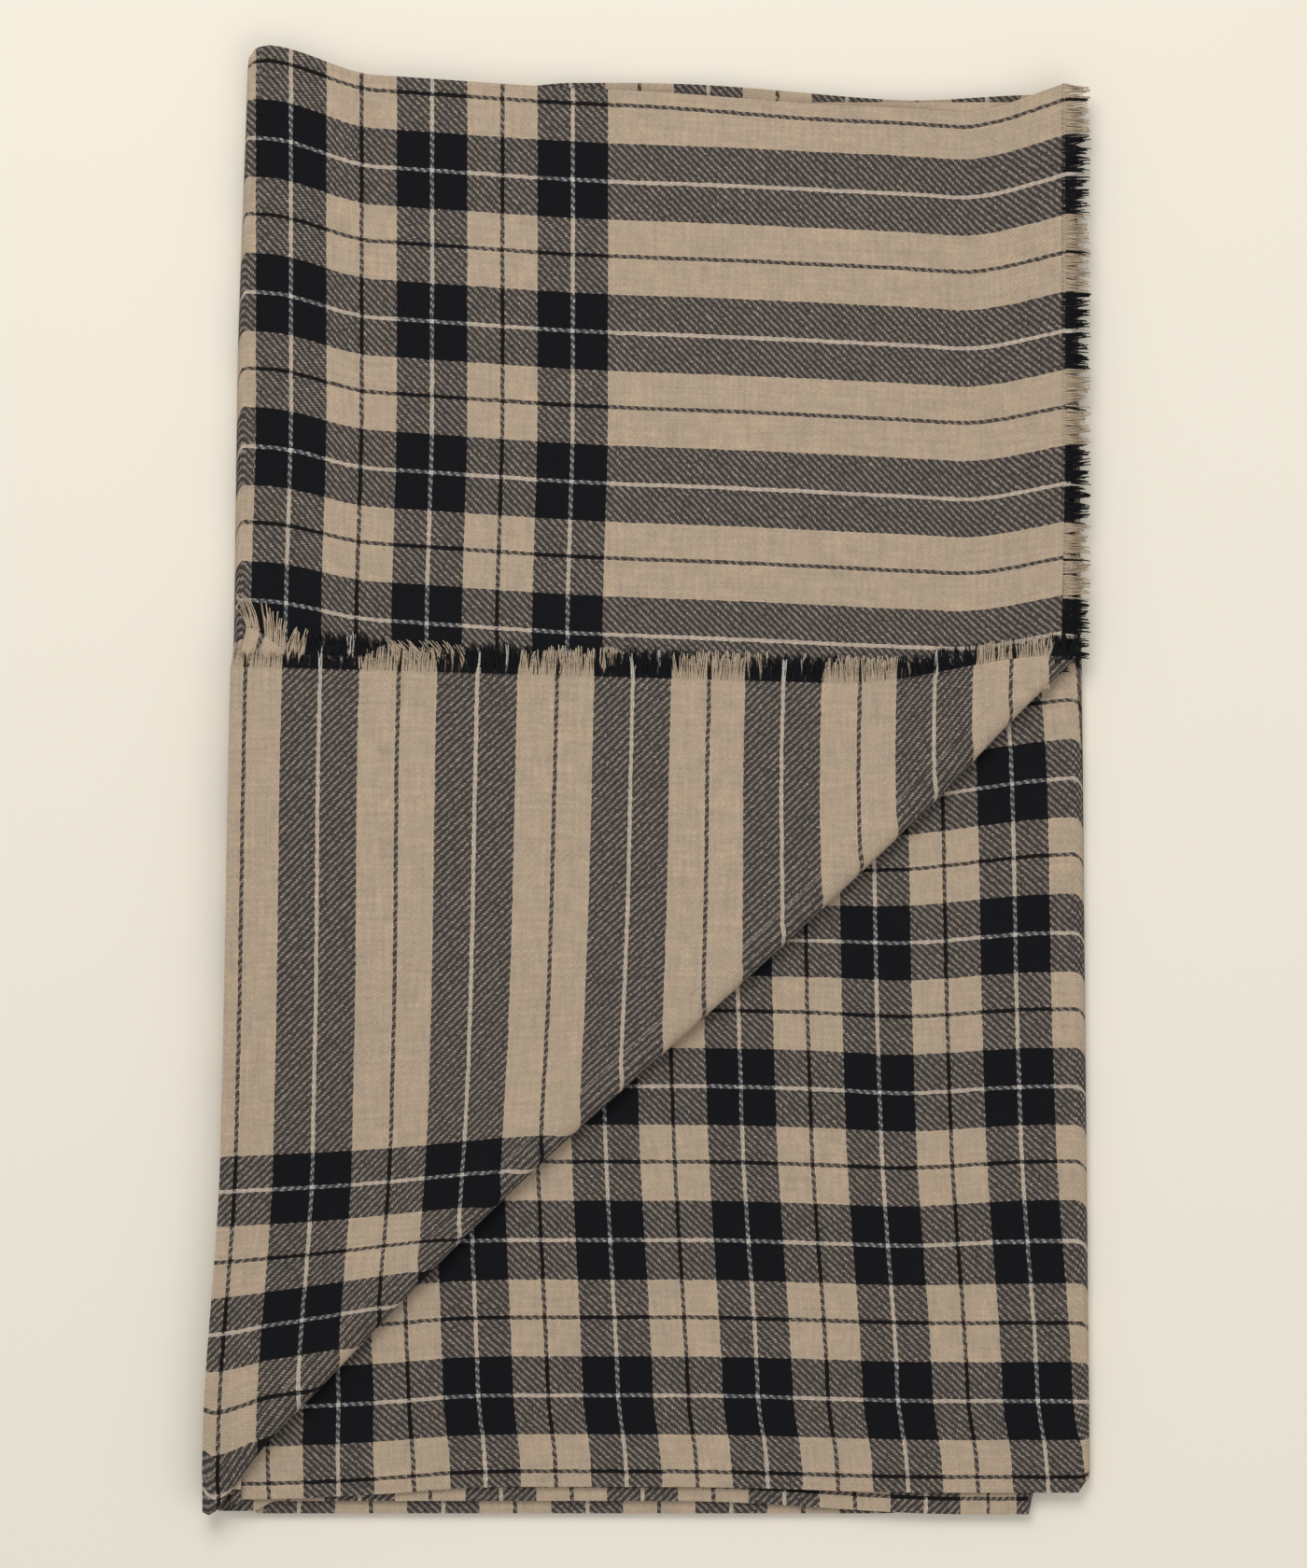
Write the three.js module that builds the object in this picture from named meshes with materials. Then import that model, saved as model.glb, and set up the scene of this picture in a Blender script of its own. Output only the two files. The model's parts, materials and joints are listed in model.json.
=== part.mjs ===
// A fringed checked wrap, folded into six layers with one corner turned up.
// Millimetres, +Z up. The wrap lies flat on Z = 0, its stripes running along X.
// The cloth was folded in half, end to end, and then in three, so each layer is one
// sixth of its length. The lower right corner of the top two layers is turned back.
import * as THREE from 'three';

// Cloth
const clothWidth = 559;
const clothThickness = 1.5;
const layerPitch = 2;
const seamGap = 0.3;
const fringeLength = 10;
const fringeThickness = 1.1;

// Folded outline
const rightEdge = 170;
const leftEdgeTop = -158;
const leftEdgeBottom = -166;
const outlineTop = 293;
const outlineBottom = -293;
const bottomPairLeftEdge = -156;
const topLayerEnd = 166.4;
const secondLayerEnd = 158;

// A panel stops this far short of the line that it turns about, which leaves the
// unrolled fold room to lie flat between two opened panels.
const foldReach = 3;
const arcSteps = 14;

// The turned corner's fold line, by its slope and where it crosses X = 0
const cornerAngle = THREE.MathUtils.degToRad(44);
const cornerLineAtZero = -118.3;

// Lower edge of each layer
const bottomLayerFoot = outlineBottom;
const fifthLayerFoot = -291.5;
const fourthLayerFoot = -289;
const thirdLayerFoot = -283.5;
const secondLayerFoot = -289;
const topLayerFoot = -287;
const topLayerRightHead = 279;

// Layers counted up from the surface that the wrap lies on
const level = { bottom: 0, fifth: 1, fourth: 2, third: 3, second: 4, top: 5, cornerUnder: 6, cornerUpper: 7 };

const colours = {
  beige: '#a3917b',
  grey: '#6b6159',
  black: '#1b1c20',
};

function clothMaterial(colour) {
  return new THREE.MeshStandardMaterial({ color: colour, roughness: 0.95, metalness: 0 });
}

function point(x, y) {
  return new THREE.Vector2(x, y);
}

function leftEdgeAt(y) {
  const share = (outlineTop - y) / (outlineTop - outlineBottom);
  return leftEdgeTop + share * (leftEdgeBottom - leftEdgeTop);
}

// Height on the fold line at x, moved square to the line: + is towards the upper left.
function cornerLineAt(x, offset) {
  return cornerLineAtZero + x * Math.tan(cornerAngle) + offset / Math.cos(cornerAngle);
}

// Where the fold line, moved by offset, meets the slanted left edge.
function cornerLineAtLeftEdge(offset) {
  let y = outlineBottom;
  for (let pass = 0; pass < 6; pass += 1) {
    y = cornerLineAt(leftEdgeAt(y), offset);
  }
  return point(leftEdgeAt(y), y);
}

// The same place on the cloth once the corner has been turned over its fold line.
function turnedUp(flatPoint) {
  const line = point(Math.cos(cornerAngle), Math.sin(cornerAngle));
  const start = point(0, cornerLineAtZero);
  const fromStart = flatPoint.clone().sub(start);
  const along = line.clone().multiplyScalar(2 * fromStart.dot(line));
  return start.clone().add(along).sub(fromStart);
}

function slab(name, outline, onLevel, thickness, colour) {
  const geometry = new THREE.ExtrudeGeometry(new THREE.Shape(outline), {
    depth: thickness,
    bevelEnabled: false,
  });
  const mesh = new THREE.Mesh(geometry, clothMaterial(colour));
  mesh.name = name;
  mesh.position.z = onLevel * layerPitch;
  return mesh;
}

// A whole layer between the left folds and its right edge.
function fullPanel(name, onLevel, foot, leftAt, colour) {
  const head = foot + clothWidth;
  const outline = [
    point(leftAt(foot), foot),
    point(rightEdge, foot),
    point(rightEdge, head),
    point(leftAt(head), head),
  ];
  return slab(name, outline, onLevel, clothThickness, colour);
}

// What is left of a layer above the turned corner.
function topPanel(name, onLevel, end, leftHead, rightHead, colour) {
  const lowerLeft = cornerLineAtLeftEdge(foldReach);
  const outline = [
    lowerLeft,
    point(end, cornerLineAt(end, foldReach)),
    point(end, rightHead),
    point(leftEdgeAt(leftHead), leftHead),
  ];
  return slab(name, outline, onLevel, clothThickness, colour);
}

// The turned corner of a layer: laid out flat first, then turned over the fold line.
function cornerPanel(name, onLevel, end, foot, colour) {
  const flat = [
    cornerLineAtLeftEdge(-foldReach),
    point(leftEdgeAt(foot), foot),
    point(end, foot),
    point(end, cornerLineAt(end, -foldReach)),
  ];
  return slab(name, flat.map(turnedUp), onLevel, clothThickness, colour);
}

// The fringe on a layer's end above the turned corner.
function endFringe(name, onLevel, end, head, colour) {
  const root = end + seamGap;
  const tip = end + fringeLength;
  const outline = [
    point(root, cornerLineAt(root, foldReach)),
    point(tip, cornerLineAt(tip, foldReach)),
    point(tip, head),
    point(root, head),
  ];
  return slab(name, outline, onLevel, fringeThickness, colour);
}

// The fringe on the turned corner's end.
function cornerFringe(name, onLevel, end, foot, colour) {
  const root = end + seamGap;
  const tip = end + fringeLength;
  const flat = [
    point(root, foot),
    point(tip, foot),
    point(tip, cornerLineAt(tip, -foldReach)),
    point(root, cornerLineAt(root, -foldReach)),
  ];
  return slab(name, flat.map(turnedUp), onLevel, fringeThickness, colour);
}

// Half a tube of cloth that joins the panels on two levels. It runs from start to end,
// bulging to the right of that direction, and its middle line lies on the panels' edges.
function fold(name, lowerLevel, upperLevel, start, end, colour) {
  const radius = ((upperLevel - lowerLevel) * layerPitch) / 2;
  const outer = radius + clothThickness / 2;
  const inner = radius - clothThickness / 2;
  const section = new THREE.Shape();
  section.absarc(0, 0, outer, -Math.PI / 2, Math.PI / 2, false);
  section.absarc(0, 0, inner, Math.PI / 2, -Math.PI / 2, true);
  section.closePath();
  const span = end.clone().sub(start);
  const geometry = new THREE.ExtrudeGeometry(section, {
    depth: span.length(),
    bevelEnabled: false,
    curveSegments: arcSteps,
  });
  const along = new THREE.Vector3(span.x, span.y, 0).normalize();
  const up = new THREE.Vector3(0, 0, 1);
  const outward = new THREE.Vector3().crossVectors(up, along);
  const middleHeight = ((lowerLevel + upperLevel) / 2) * layerPitch + clothThickness / 2;
  const mesh = new THREE.Mesh(geometry, clothMaterial(colour));
  mesh.name = name;
  mesh.quaternion.setFromRotationMatrix(new THREE.Matrix4().makeBasis(outward, up, along));
  mesh.position.set(start.x, start.y, middleHeight).addScaledVector(outward, seamGap);
  return mesh;
}

function leftFold(name, lowerLevel, upperLevel, foot, head, colour) {
  return fold(name, lowerLevel, upperLevel, point(leftEdgeAt(foot), foot), point(leftEdgeAt(head), head), colour);
}

function rightFold(name, lowerLevel, upperLevel, foot, head, colour) {
  return fold(name, lowerLevel, upperLevel, point(rightEdge, head), point(rightEdge, foot), colour);
}

function cornerFold(name, lowerLevel, upperLevel, end, colour) {
  const upperRight = point(end, cornerLineAt(end, foldReach));
  return fold(name, lowerLevel, upperLevel, upperRight, cornerLineAtLeftEdge(foldReach), colour);
}

function headOf(foot) {
  return foot + clothWidth;
}

function straightLeft() {
  return bottomPairLeftEdge;
}

function bottomPair() {
  const pair = new THREE.Group();
  const left = point(bottomPairLeftEdge, bottomLayerFoot);
  const leftHead = point(bottomPairLeftEdge, headOf(bottomLayerFoot));
  pair.add(fullPanel('bottom_panel', level.bottom, bottomLayerFoot, straightLeft, colours.grey));
  pair.add(fullPanel('fifth_panel', level.fifth, fifthLayerFoot, straightLeft, colours.beige));
  pair.add(fold('mid_length_fold', level.bottom, level.fifth, left, leftHead, colours.grey));
  return pair;
}

function middlePair() {
  const pair = new THREE.Group();
  pair.add(fullPanel('fourth_panel', level.fourth, fourthLayerFoot, leftEdgeAt, colours.grey));
  pair.add(fullPanel('third_panel', level.third, thirdLayerFoot, leftEdgeAt, colours.beige));
  return pair;
}

function topPair() {
  const pair = new THREE.Group();
  const secondHead = headOf(secondLayerFoot);
  pair.add(topPanel('second_panel', level.second, secondLayerEnd, secondHead, secondHead, colours.grey));
  pair.add(topPanel('top_panel', level.top, topLayerEnd, outlineTop, topLayerRightHead, colours.beige));
  pair.add(endFringe('second_panel_fringe', level.second, secondLayerEnd, secondHead, colours.black));
  pair.add(endFringe('top_panel_fringe', level.top, topLayerEnd, topLayerRightHead, colours.black));
  return pair;
}

function turnedCorner() {
  const corner = new THREE.Group();
  corner.add(cornerPanel('corner_under_panel', level.cornerUnder, topLayerEnd, topLayerFoot, colours.grey));
  corner.add(cornerPanel('corner_upper_panel', level.cornerUpper, secondLayerEnd, secondLayerFoot, colours.beige));
  corner.add(cornerFringe('corner_under_fringe', level.cornerUnder, topLayerEnd, topLayerFoot, colours.black));
  corner.add(cornerFringe('corner_upper_fringe', level.cornerUpper, secondLayerEnd, secondLayerFoot, colours.black));
  return corner;
}

function sideAndCornerFolds() {
  const folds = new THREE.Group();
  const { bottom, fifth, fourth, third, second, top, cornerUnder, cornerUpper } = level;
  folds.add(rightFold('right_outer_fold', bottom, third, thirdLayerFoot, headOf(bottomLayerFoot), colours.beige));
  folds.add(rightFold('right_inner_fold', fifth, fourth, fourthLayerFoot, headOf(fifthLayerFoot), colours.grey));
  folds.add(leftFold('left_inner_fold', third, second, thirdLayerFoot, headOf(secondLayerFoot), colours.grey));
  folds.add(leftFold('left_outer_fold', fourth, top, fourthLayerFoot, outlineTop, colours.beige));
  folds.add(cornerFold('corner_inner_fold', top, cornerUnder, topLayerEnd, colours.beige));
  folds.add(cornerFold('corner_outer_fold', second, cornerUpper, secondLayerEnd, colours.grey));
  return folds;
}

const foldedWrap = new THREE.Group();
foldedWrap.add(bottomPair(), middlePair(), topPair(), turnedCorner(), sideAndCornerFolds());

export default foldedWrap;
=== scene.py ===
import json
import math

import bpy
import numpy as np
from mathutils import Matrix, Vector

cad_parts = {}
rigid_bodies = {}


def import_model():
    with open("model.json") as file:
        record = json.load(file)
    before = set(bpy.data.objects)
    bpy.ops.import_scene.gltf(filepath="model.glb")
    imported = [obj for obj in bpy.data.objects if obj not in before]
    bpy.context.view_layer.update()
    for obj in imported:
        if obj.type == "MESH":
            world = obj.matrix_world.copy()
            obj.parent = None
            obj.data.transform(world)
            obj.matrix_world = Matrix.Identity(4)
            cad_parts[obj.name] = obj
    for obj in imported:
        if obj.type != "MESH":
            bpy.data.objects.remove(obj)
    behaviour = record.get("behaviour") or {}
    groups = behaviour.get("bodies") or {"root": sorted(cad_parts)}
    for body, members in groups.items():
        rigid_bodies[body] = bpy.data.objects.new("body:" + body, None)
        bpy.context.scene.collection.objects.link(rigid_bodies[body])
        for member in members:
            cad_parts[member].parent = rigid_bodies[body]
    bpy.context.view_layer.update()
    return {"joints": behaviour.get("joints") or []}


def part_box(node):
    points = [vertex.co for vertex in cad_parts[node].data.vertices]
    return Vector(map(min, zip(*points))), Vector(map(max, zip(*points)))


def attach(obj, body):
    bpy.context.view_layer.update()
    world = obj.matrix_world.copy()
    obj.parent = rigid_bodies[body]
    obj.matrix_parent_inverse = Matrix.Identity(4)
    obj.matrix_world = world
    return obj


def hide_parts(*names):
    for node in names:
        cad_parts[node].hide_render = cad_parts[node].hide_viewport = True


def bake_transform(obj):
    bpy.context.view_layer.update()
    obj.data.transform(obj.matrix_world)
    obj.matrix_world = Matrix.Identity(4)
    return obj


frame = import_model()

mm = 0.001

# The cloth, counted in yarns. A place on it is (weft, warp): how many crosswise yarns from
# the first fringe, and how many lengthwise yarns from the first selvedge.
cloth = {
    "thickness": 1.15 * mm,
    "warpPitch": 0.769 * mm,
    "weftPitch": 0.775 * mm,
    "warpCount": 727,
    "weftCount": 2602,
}
cloth["width"] = cloth["warpCount"] * cloth["warpPitch"]

stripes = {"selvedge": 7, "repeat": 79, "darkFrom": 21, "darkTo": 61, "ivory": 40}
bands = {"border": 239, "repeat": 72, "darkTo": 36, "ivory": 17, "black": 53}

yarnColour = {
    "beige": (0.478, 0.380, 0.276),
    "black": (0.0072, 0.0077, 0.0098),
    "ivory": (0.56, 0.515, 0.45),
    "pin": (0.017, 0.0115, 0.008),
}


# The hinge lines and the levels of the layers come from the frame
def hingeLine(name):
    joint = next(j for j in frame["joints"] if j["name"] == name)
    return np.array(joint["pos_m"][:2]), np.array(joint["axis"][:2])


leftHinge = hingeLine("top_pair_unfold")
rightHinge = hingeLine("middle_pair_unfold")
cornerHinge = hingeLine("corner_turn_back")
hingeSpan = rightHinge[0][0] - leftHinge[0][0]
foldReach = rightHinge[0][0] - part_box("third_panel")[1].x


def levelOf(node):
    low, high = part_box(node)
    return (low.z + high.z) / 2


def ease(low, high, x):
    t = np.clip((x - low) / (high - low), 0, 1)
    return t * t * (3 - 2 * t)


def fade(low, high, x):
    return 1 - ease(low, high, x)


def hump(centre, halfWidth, x):
    return np.exp(-(((x - centre) / halfWidth) ** 2))


# Small changes of shape are given as (size, from, to), and they come in or go out between
# the two places. A swell is given as (size, centre, half width).
def comesIn(change, x):
    size, low, high = change
    return size * ease(low, high, x)


def goesOut(change, x):
    size, low, high = change
    return size * fade(low, high, x)


def swells(change, x):
    size, centre, halfWidth = change
    return size * hump(centre, halfWidth, x)


rightEdge = {"lean": 0.0098, "pivot": -100 * mm}


def leftEdgeAt(y):
    point, axis = leftHinge
    return point[0] + (y - point[1]) * axis[0] / axis[1] + foldReach


def rightEdgeAt(y):
    return rightHinge[0][0] - foldReach - rightEdge["lean"] * (y - rightEdge["pivot"])


# Distance from the corner's fold line, + towards the upper left, and how far along it
def cornerSide(x, y):
    point, axis = cornerHinge
    return (y - point[1]) * axis[0] - (x - point[0]) * axis[1]


def cornerAlong(x, y):
    point, axis = cornerHinge
    return (x - point[0]) * axis[0] + (y - point[1]) * axis[1]


def cornerPoint(along, side):
    point, axis = cornerHinge
    return point[0] + along * axis[0] - side * axis[1], point[1] + along * axis[1] + side * axis[0]


# The fold line isn't quite straight: it gives a little towards the upper left, and the
# corner of the cloth settles downwards at its lower end.
cornerBow = {
    "middle": (5.5 * mm, -75 * mm, 110 * mm),
    "head": (2.2 * mm, 150 * mm, 215 * mm),
    "reach": 42 * mm,
}
cornerTip = {
    "drop": (7.2 * mm, -176 * mm, -148 * mm),
    "round": 4.5 * mm,
    "roundFrom": -170 * mm,
    "roundLength": 6.5 * mm,
    "reach": 30 * mm,
}


def bowed(x, y):
    side = cornerSide(x, y)
    along = cornerAlong(x, y)
    axis = cornerHinge[1]
    push = swells(cornerBow["middle"], along) + comesIn(cornerBow["head"], along)
    push = push * hump(0, cornerBow["reach"], side)
    tip = cornerTip
    rounding = np.clip((tip["roundFrom"] - x) / tip["roundLength"], 0, 1.1) ** 3
    drop = goesOut(tip["drop"], x) - tip["round"] * rounding
    drop = drop * hump(0, tip["reach"], side)
    return x - push * axis[1], y + push * axis[0] - drop


# How each layer lies, as (s, v) to x, y and weft count. s goes from 0 at the left fold to 1 at
# the right edge, v is the distance from the first selvedge, and warp lines run along s.
topLayer = {
    "head": 271 * mm,
    "pivot": 77 * mm,
    "slope": (-0.053, 260 * mm, 430 * mm),
    "fan": 0.009,
    "headDip": (1.15 * mm, -30 * mm, 55 * mm),
    "headSqueeze": (2.4 * mm, -10 * mm, 70 * mm),
    "squeezeEnds": (7 * mm, 23 * mm),
    "leftLift": (9.5 * mm, -152 * mm, -108 * mm),
    "leftLiftFade": 1.2,
    "endLift": (18.4 * mm, 122 * mm, 190 * mm),
    "endLiftLeast": 0.55,
    "endLiftReach": 80 * mm,
    "headCorner": 9 * mm,
    "headCornerDrop": 5 * mm,
    "drift": (2.2 * mm, 55 * mm, 150 * mm),
    "driftEnds": (-20 * mm, 100 * mm),
    "borderPitch": 0.762 * mm,
    "bandPitch": 0.779 * mm,
}
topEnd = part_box("top_panel")[1].x
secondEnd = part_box("second_panel")[1].x


def placeTop(s, v):
    p = topLayer
    down = v / cloth["width"]
    left = leftEdgeAt(p["head"] - v)
    x = left + s * (topEnd - left)
    y = p["head"] + goesOut(p["slope"], v) * (x - p["pivot"]) + p["fan"] * v - swells(p["headDip"], x)
    y = y - comesIn(p["headSqueeze"], x) * fade(*p["squeezeEnds"], v)
    y = y + goesOut(p["leftLift"], x) * np.clip(1 - p["leftLiftFade"] * down, 0, 1)
    least = p["endLiftLeast"]
    y = y + comesIn(p["endLift"], x) * (least + (1 - least) * np.exp(-v / p["endLiftReach"]))
    inCorner = np.clip(1 - s * (topEnd - left) / p["headCorner"], 0, 1)
    y = y - p["headCornerDrop"] * (1 - np.sqrt(1 - inCorner ** 2)) * np.exp(-v / p["headCorner"])
    drift = goesOut(p["drift"], y - v) * fade(*p["driftEnds"], x)
    fromEnd = topEnd - x - drift
    inBorder = np.minimum(fromEnd, bands["border"] * p["borderPitch"])
    weft = inBorder / p["borderPitch"] + (fromEnd - inBorder) / p["bandPitch"]
    return x, y - v, weft


thirdLayer = {
    "foot": -284.1 * mm,
    "stretch": 1.012,
    "headShrink": (6 * mm, 330 * mm, 559 * mm),
    "lean": 0.0335,
    "leanPivot": -245.5 * mm,
    "bandEdge": 169.6 * mm,
    "bandEdgeWeft": 1751,
}
thirdSway = {  # how the crosswise bands stray to the side on their way up
    "low": (-3.2 * mm, -245 * mm, -140 * mm),
    "middle": (1.2 * mm, -110 * mm, 0),
    "high": (1 * mm, 5 * mm, 40 * mm),
    "foot": (1.5 * mm, -285 * mm, -245 * mm),
    "across": (-130 * mm, 90 * mm),
    "footLean": (2.7 * mm, -115 * mm, -85 * mm),
    "footLeanLess": 1.2 * mm,
    "footLeanEnds": (-272 * mm, -245 * mm),
}
thirdWave = {  # how the lengthwise stripes rise and fall on their way across
    "base": 1.6 * mm,
    "left": (4.2 * mm, -160 * mm, -50 * mm),
    "right": (2.3 * mm, 10 * mm, 120 * mm),
    "aboveFoot": (60 * mm, 115 * mm),
    "aboveFootBase": 0.7 * mm,
    "aboveFootRight": (2.9 * mm, 95 * mm, 160 * mm),
    "fan": (0.1, 310 * mm, 75 * mm),
    "fanPivot": 175 * mm,
    "lowLeft": (0.7 * mm, -105 * mm, -75 * mm),
    "lowLeftEnds": (110 * mm, 170 * mm),
    "middleRight": (1.1 * mm, 60 * mm, 110 * mm),
    "middleRightAt": (190 * mm, 75 * mm),
    "headRight": (-5.3 * mm, -10 * mm, 125 * mm),
    "headLeft": (2.4 * mm, -60 * mm, -30 * mm),
    "headReach": 50 * mm,
}


def thirdWeft(x, y):
    p = thirdLayer
    w = thirdSway
    sway = comesIn(w["low"], y) + comesIn(w["middle"], y) - comesIn(w["high"], y) + goesOut(w["foot"], y)
    footLean = comesIn(w["footLean"], x) - w["footLeanLess"]
    sway = sway * ease(*w["across"], x) + footLean * fade(*w["footLeanEnds"], y)
    straight = x - sway - p["bandEdge"] + p["lean"] * (y - p["leanPivot"])
    return p["bandEdgeWeft"] - straight / cloth["weftPitch"]


def placeThird(s, v):
    p = thirdLayer
    w = thirdWave
    up = cloth["width"] - v
    y = p["foot"] + up * p["stretch"] - comesIn(p["headShrink"], up)
    left, right = leftEdgeAt(y), rightEdgeAt(y)
    x = left + s * (right - left)
    wave = w["base"] - goesOut(w["left"], x) - comesIn(w["right"], x)
    wave = wave + (comesIn(w["aboveFootRight"], x) + w["aboveFootBase"]) * ease(*w["aboveFoot"], up)
    wave = wave + swells(w["fan"], up) * (x - w["fanPivot"])
    wave = wave - goesOut(w["lowLeft"], x) * fade(*w["lowLeftEnds"], up)
    wave = wave - comesIn(w["middleRight"], x) * hump(*w["middleRightAt"], up)
    head = comesIn(w["headRight"], x) - goesOut(w["headLeft"], x)
    y = y + wave + head * np.exp(-v / w["headReach"])
    return x, y, thirdWeft(x, y)


secondLayer = {"head": 270 * mm}


def placeSecond(s, v):
    y = secondLayer["head"] - v + 0 * s
    left = leftEdgeAt(y)
    x = left + s * (secondEnd - left)
    startWeft = thirdWeft(left, y)
    return x, y, startWeft + s * (cloth["weftCount"] - startWeft)


# The lower layers' right fold is drawn in at its foot, so that it stays under the third layer.
fourthLayer = {
    "foot": -288.3 * mm,
    "lean": 0.034,
    "weft": 617,
    "weftAt": -1.9 * mm,
    "pitch": 0.785 * mm,
    "edgeFrom": 124 * mm,
    "edgePitch": 0.62 * mm,
    "footLeft": (5.5 * mm, 0, 0.06),
    "footLeftEnds": (0, 14 * mm),
    "sagRight": (5.4 * mm, 10 * mm, 130 * mm),
    "sagLeft": (4 * mm, -158 * mm, -148 * mm),
    "sagReach": 60 * mm,
    "tuck": (152.5 * mm, 155 * mm),
}
fifthLayer = {
    "foot": -293.5 * mm,
    "weft": 977,
    "weftAt": 91.1 * mm,
    "pitch": 0.8 * mm,
    "edgeFrom": 104.9 * mm,
    "edgePitch": 2.6 * mm,
    "tuck": (98 * mm, 106 * mm),
}
bottomLayer = {"foot": -291.5 * mm, "startWeft": 1293, "foldYarns": 12, "tuck": (98 * mm, 106 * mm)}
footTuck = {"depth": 12 * mm, "reach": 40 * mm}


def fourthWeft(x):
    p = fourthLayer
    near = np.minimum(x, p["edgeFrom"])
    return p["weft"] + (near - p["weftAt"]) / p["pitch"] + (x - near) / p["edgePitch"]


def fifthWeft(x):
    p = fifthLayer
    near = np.maximum(x, p["edgeFrom"])
    weft = p["weft"] - (near - p["weftAt"]) / p["pitch"] - (near - p["edgeFrom"]) / p["edgePitch"]
    return weft + (near - x) / p["pitch"]


def tucked(layer, x, up):
    return footTuck["depth"] * ease(*layer["tuck"], x) * hump(0, footTuck["reach"], up)


def placeFourth(s, v):
    p = fourthLayer
    up = cloth["width"] - v
    y = p["foot"] + up
    left, right = leftEdgeAt(y), rightEdgeAt(y)
    x = left + s * (right - left) - goesOut(p["footLeft"], s) * fade(*p["footLeftEnds"], up)
    weft = fourthWeft(x + p["lean"] * (y - p["foot"]) * (1 - s))
    sag = comesIn(p["sagRight"], x) + goesOut(p["sagLeft"], x)
    return x, y + tucked(p, x, up) - sag * hump(0, p["sagReach"], up), weft


def placeFifth(s, v):
    p = fifthLayer
    up = cloth["width"] - v
    y = p["foot"] + up
    left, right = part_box("fifth_panel")[0].x, rightEdgeAt(y)
    x = left + s * (right - left)
    return x, y + tucked(p, x, up), fifthWeft(x)


def placeBottom(s, v):
    p = bottomLayer
    up = cloth["width"] - v
    y = p["foot"] + up
    left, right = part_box("bottom_panel")[0].x, rightEdgeAt(y)
    x = left + s * (right - left)
    endWeft = thirdWeft(right, y) - p["foldYarns"]
    return x, y + tucked(p, x, up), p["startWeft"] + s * (endWeft - p["startWeft"])


# The turned corner's upper layer: s is how far in from its fringe, 0 to 1 of the flap's
# length, and v still runs from the first selvedge, which is at the flap's far right.
flap = {
    "length": 345 * mm,
    "reachAcross": 0.62,
    "left": -165.3 * mm,
    "leftLean": 0.0245,
    "leftPivot": 50 * mm,
    "leftSwing": (3.8 * mm, -140 * mm, -250 * mm),
    "root": 45 * mm,
    "rootSlope": -0.028,
    "rootRise": (12 * mm, 75 * mm, 170 * mm),
    "stretchAcross": 1.015,
    "nearFold": (2.2 * mm, 5 * mm, 50 * mm),
    "nearFoldFrom": (170 * mm, 290 * mm),
    "nearRoot": (1.6 * mm, 50 * mm, 45 * mm),
    "nearRootEnds": (20 * mm, 140 * mm),
    "nearTip": (2.9 * mm, 130 * mm, 260 * mm),
    "nearTipEnds": (20 * mm, 110 * mm),
    "skew": 0.068,
    "skewMore": (0.085, 210 * mm, 260 * mm),
    "skewFrom": 14 * mm,
    "drop": 9.3 * mm,
    "dropMost": 20 * mm,
    "dropOver": (0, 185 * mm),
    "endDrop": (3 * mm, 265 * mm, 315 * mm),
    "endDropEnds": (20 * mm, 60 * mm),
}


def placeFlap(s, v):
    p = flap
    a = cloth["width"] - v
    b = s * p["length"]
    y = p["root"] - b
    edge = p["left"] - p["leftLean"] * (p["leftPivot"] - y) - comesIn(p["leftSwing"], y)
    nearFold = comesIn(p["nearFold"], a) * ease(*p["nearFoldFrom"], b + 0.5 * a)
    nearRoot = swells(p["nearRoot"], a) * fade(*p["nearRootEnds"], b)
    nearTip = comesIn(p["nearTip"], a) * fade(*p["nearTipEnds"], b)
    x = edge + a * p["stretchAcross"] + nearFold - nearRoot - nearTip
    rise = p["rootSlope"] * (x - p["left"]) + comesIn(p["rootRise"], x)
    skew = p["skew"] + comesIn(p["skewMore"], b)
    drop = np.clip(p["drop"] - skew * (a - p["skewFrom"]), 0, p["dropMost"])
    drop = ease(*p["dropOver"], b) * drop
    drop = drop + comesIn(p["endDrop"], b) * fade(*p["endDropEnds"], a)
    return x, y + rise - drop, cloth["weftCount"] - b / cloth["weftPitch"]


# How far the turned-over first end reaches past its own straight line
underEnd = {
    "lift": -6 * mm,
    "left": (3 * mm, -114 * mm, -92 * mm),
    "farLeft": (10 * mm, -150 * mm, -134 * mm),
    "shift": (8 * mm, -150 * mm, -95 * mm),
    "reach": 70 * mm,
}


def underReach(x):
    return underEnd["lift"] + goesOut(underEnd["left"], x) + goesOut(underEnd["farLeft"], x)


# Finds (s, v) for places given as x, y. stepS and stepV say how s and v answer a miss in x and y.
def findOn(place, x, y, stepS, stepV):
    s = np.zeros_like(x) + 0.5
    v = np.zeros_like(x) + cloth["width"] / 2
    for _ in range(40):
        nowX, nowY, _ = place(s, v)
        s = s + (x - nowX) * stepS[0] + (y - nowY) * stepS[1]
        v = v + (x - nowX) * stepV[0] + (y - nowY) * stepV[1]
    return s, v


def findTop(x, y):
    return findOn(placeTop, x, y, (1 / 0.33, 0), (0, -1))


def findFlap(x, y):
    return findOn(placeFlap, x, y, (0, -1 / flap["length"]), (-0.95, 0))


ripples = [  # size, wavelengths along x and y in metres, start
    (0.50, 0.19, 0.27, 0.6),
    (0.30, 0.083, -0.16, 2.1),
    (0.22, 0.41, 0.062, 4.0),
]
rippleHeight = 0.9 * mm


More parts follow.
